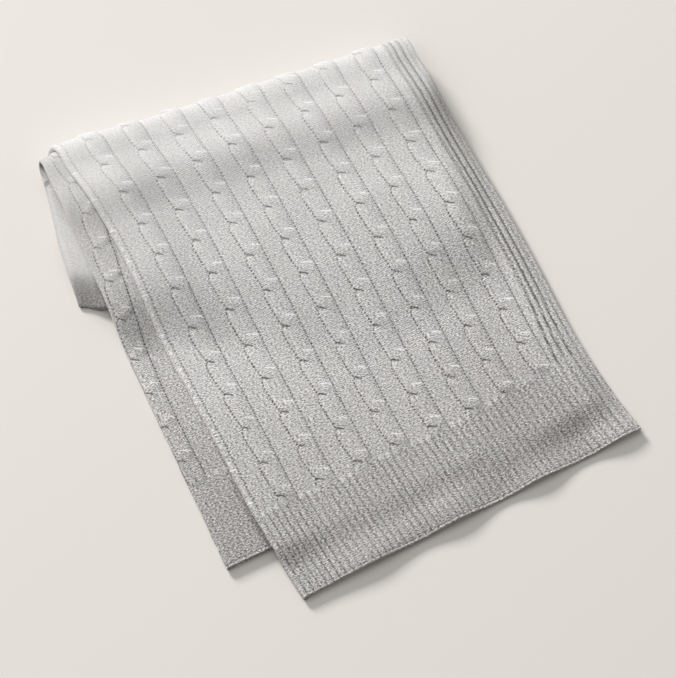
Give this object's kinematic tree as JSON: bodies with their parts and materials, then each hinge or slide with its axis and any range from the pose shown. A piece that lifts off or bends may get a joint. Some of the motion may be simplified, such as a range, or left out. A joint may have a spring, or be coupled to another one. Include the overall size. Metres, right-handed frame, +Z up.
{
  "type": "folded knit throw blanket",
  "caption": "Soft knitted throw with raised cables, ribbed side borders and ribbed hems, folded in layers and lying flat.",
  "frame": {"origin": "centre of the bounding box's bottom face, on the surface the throw lies on", "axes": "+Y along the folded strip from its near hem to its far turned-under end, +Z up, +X across the strip towards the edge with the side ribs"},
  "size_m": [0.476, 0.6024, 0.0516],
  "materials": {
    "throw": "soft matte heathered knit"
  },
  "bodies": {
    "root": {"throw": "throw"}
  },
  "joints": []
}
